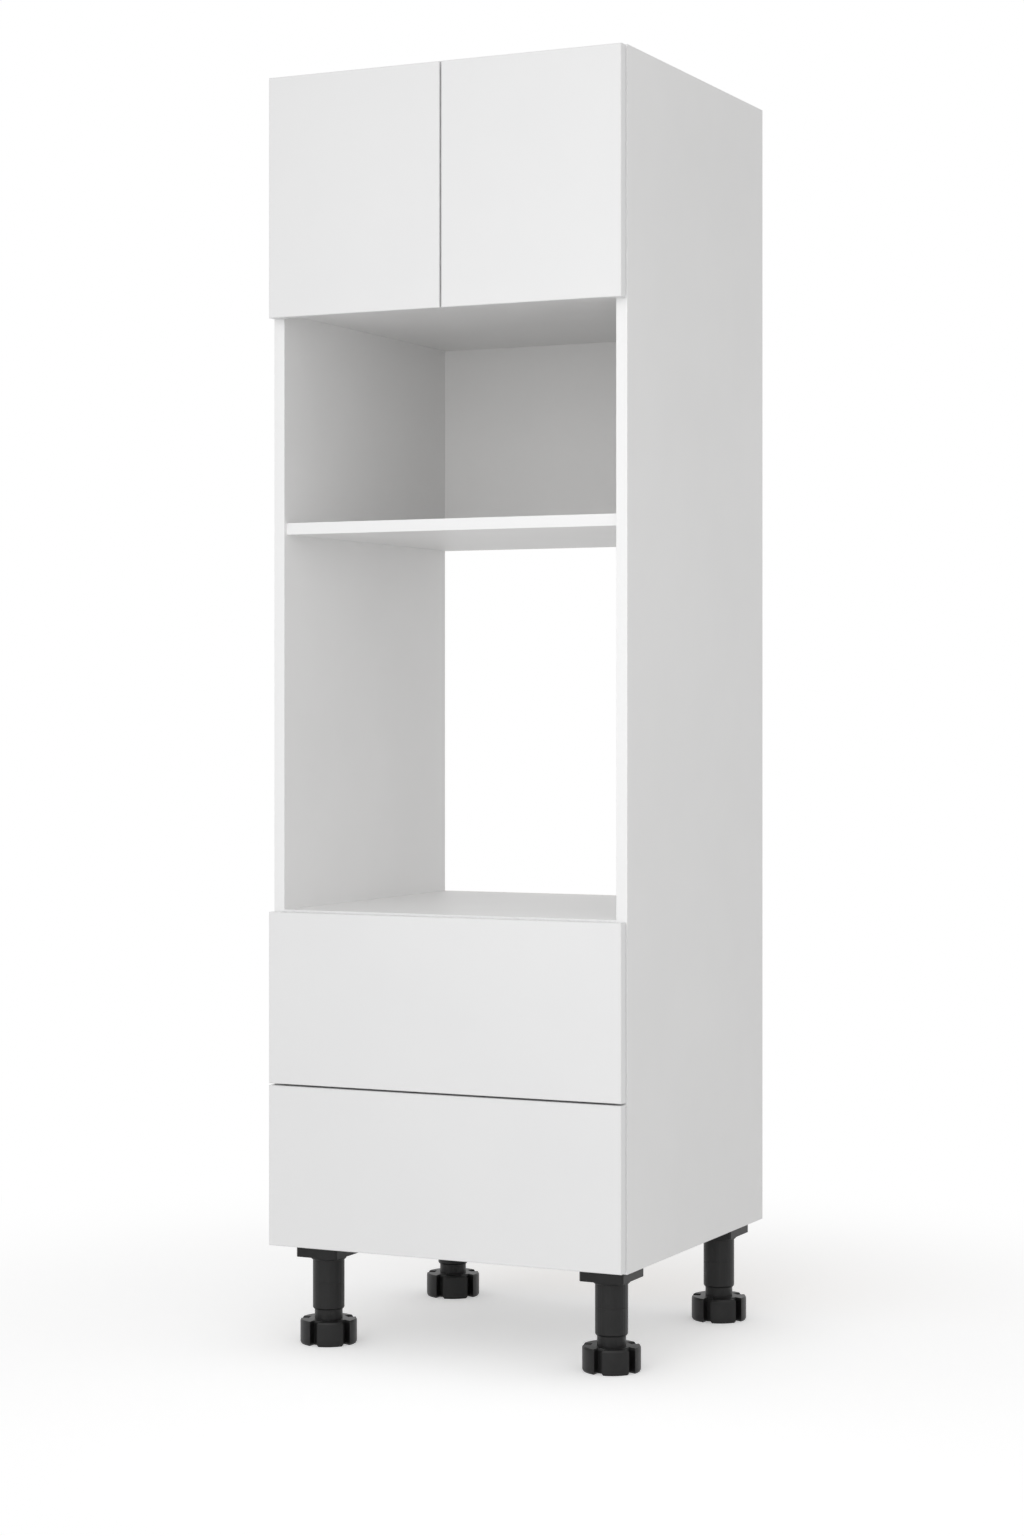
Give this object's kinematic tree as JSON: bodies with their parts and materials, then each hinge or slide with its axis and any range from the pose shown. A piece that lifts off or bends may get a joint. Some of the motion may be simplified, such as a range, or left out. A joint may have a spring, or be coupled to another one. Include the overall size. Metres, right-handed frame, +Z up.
{
  "type": "tall oven housing unit",
  "caption": "Tall white kitchen housing for a built-in oven, with a microwave niche above it, a two-door top cupboard, handleless drawers below and levelling legs.",
  "frame": {"origin": "on the floor, in the middle of the plan of the whole housing, under the levelling feet", "axes": "+Z up, +X to the right when facing the doors, -Y towards the front where the doors and drawers are"},
  "size_m": [0.6, 0.58, 1.98],
  "materials": {
    "white_board": "matt white melamine-faced board",
    "white_front": "matt white fronts with thin matching edging",
    "back_sheet": "white-faced thin fibreboard",
    "drawer_steel": "white powder-coated folded steel",
    "zinc_steel": "bright zinc-plated pressed steel",
    "black_plastic": "matt black moulded plastic",
    "grey_plastic": "light grey moulded plastic"
  },
  "bodies": {
    "carcass": {"left_side_panel": "white_board", "right_side_panel": "white_board", "bottom_panel": "white_board", "oven_deck": "white_board", "microwave_shelf": "white_board", "cupboard_floor": "white_board", "top_panel": "white_board", "upper_back_panel": "back_sheet", "lower_back_panel": "back_sheet", "left_upper_hinge_arm": "zinc_steel", "left_lower_hinge_arm": "zinc_steel", "right_upper_hinge_arm": "zinc_steel", "right_lower_hinge_arm": "zinc_steel", "left_push_latch_housing": "grey_plastic", "right_push_latch_housing": "grey_plastic", "upper_drawer_left_cabinet_rail": "zinc_steel", "upper_drawer_right_cabinet_rail": "zinc_steel", "lower_drawer_left_cabinet_rail": "zinc_steel", "lower_drawer_right_cabinet_rail": "zinc_steel", "front_left_leg_plate": "black_plastic", "front_left_leg_tube": "black_plastic", "front_right_leg_plate": "black_plastic", "front_right_leg_tube": "black_plastic", "back_left_leg_plate": "black_plastic", "back_left_leg_tube": "black_plastic", "back_right_leg_plate": "black_plastic", "back_right_leg_tube": "black_plastic"},
    "left_hinge_links": {"left_upper_hinge_link": "zinc_steel", "left_lower_hinge_link": "zinc_steel"},
    "left_door": {"left_door": "white_front", "left_upper_hinge_cup": "zinc_steel", "left_lower_hinge_cup": "zinc_steel"},
    "left_latch_plunger": {"left_push_latch_plunger": "grey_plastic"},
    "right_hinge_links": {"right_upper_hinge_link": "zinc_steel", "right_lower_hinge_link": "zinc_steel"},
    "right_door": {"right_door": "white_front", "right_upper_hinge_cup": "zinc_steel", "right_lower_hinge_cup": "zinc_steel"},
    "right_latch_plunger": {"right_push_latch_plunger": "grey_plastic"},
    "upper_drawer": {"upper_drawer_front": "white_front", "upper_drawer_left_side": "drawer_steel", "upper_drawer_right_side": "drawer_steel", "upper_drawer_base": "white_board", "upper_drawer_back": "white_board"},
    "upper_drawer_middle_rails": {"upper_drawer_left_middle_rail": "zinc_steel", "upper_drawer_right_middle_rail": "zinc_steel"},
    "lower_drawer": {"lower_drawer_front": "white_front", "lower_drawer_left_side": "drawer_steel", "lower_drawer_right_side": "drawer_steel", "lower_drawer_base": "white_board", "lower_drawer_back": "white_board"},
    "lower_drawer_middle_rails": {"lower_drawer_left_middle_rail": "zinc_steel", "lower_drawer_right_middle_rail": "zinc_steel"},
    "front_left_foot": {"front_left_levelling_foot": "black_plastic"},
    "front_right_foot": {"front_right_levelling_foot": "black_plastic"},
    "back_left_foot": {"back_left_levelling_foot": "black_plastic"},
    "back_right_foot": {"back_right_levelling_foot": "black_plastic"}
  },
  "joints": [
    {"name": "left_link_swing", "type": "hinge", "parent": "carcass", "child": "left_hinge_links", "pos_m": [-0.265, -0.269, 1.79175], "axis": [0, 0, -1], "range_deg": [-45.1, 0]},
    {"name": "left_door_swing", "type": "hinge", "parent": "left_hinge_links", "child": "left_door", "pos_m": [-0.2865, -0.276, 1.79175], "axis": [0, 0, -1], "range_deg": [0, 150]},
    {"name": "left_plunger_slide", "type": "slide", "parent": "carcass", "child": "left_latch_plunger", "axis": [0, -1, 0], "range_m": [0, 0.035]},
    {"name": "right_link_swing", "type": "hinge", "parent": "carcass", "child": "right_hinge_links", "pos_m": [0.265, -0.269, 1.79175], "axis": [0, 0, 1], "range_deg": [-45.1, 0]},
    {"name": "right_door_swing", "type": "hinge", "parent": "right_hinge_links", "child": "right_door", "pos_m": [0.2865, -0.276, 1.79175], "axis": [0, 0, 1], "range_deg": [0, 150]},
    {"name": "right_plunger_slide", "type": "slide", "parent": "carcass", "child": "right_latch_plunger", "axis": [0, -1, 0], "range_m": [0, 0.035]},
    {"name": "upper_drawer_slide", "type": "slide", "parent": "carcass", "child": "upper_drawer", "axis": [0, -1, 0], "range_m": [-0.0015, 0.45]},
    {"name": "upper_middle_rail_slide", "type": "slide", "parent": "carcass", "child": "upper_drawer_middle_rails", "axis": [0, -1, 0], "range_m": [-0.00076, 0.226]},
    {"name": "lower_drawer_slide", "type": "slide", "parent": "carcass", "child": "lower_drawer", "axis": [0, -1, 0], "range_m": [-0.0015, 0.45]},
    {"name": "lower_middle_rail_slide", "type": "slide", "parent": "carcass", "child": "lower_drawer_middle_rails", "axis": [0, -1, 0], "range_m": [-0.00076, 0.226]},
    {"name": "front_left_foot_screw", "type": "slide", "parent": "carcass", "child": "front_left_foot", "axis": [0, 0, -1], "range_m": [-0.01, 0.025]},
    {"name": "front_right_foot_screw", "type": "slide", "parent": "carcass", "child": "front_right_foot", "axis": [0, 0, -1], "range_m": [-0.01, 0.025]},
    {"name": "back_left_foot_screw", "type": "slide", "parent": "carcass", "child": "back_left_foot", "axis": [0, 0, -1], "range_m": [-0.01, 0.025]},
    {"name": "back_right_foot_screw", "type": "slide", "parent": "carcass", "child": "back_right_foot", "axis": [0, 0, -1], "range_m": [-0.01, 0.025]}
  ],
  "couplings": [
    {"joint": "left_link_swing", "follows": "left_door_swing", "ratio": -0.3},
    {"joint": "left_plunger_slide", "follows": "left_door_swing", "m_per_rad": 0.01336},
    {"joint": "right_link_swing", "follows": "right_door_swing", "ratio": -0.3},
    {"joint": "right_plunger_slide", "follows": "right_door_swing", "m_per_rad": 0.01336},
    {"joint": "upper_middle_rail_slide", "follows": "upper_drawer_slide", "ratio": 0.5},
    {"joint": "lower_middle_rail_slide", "follows": "lower_drawer_slide", "ratio": 0.5}
  ]
}
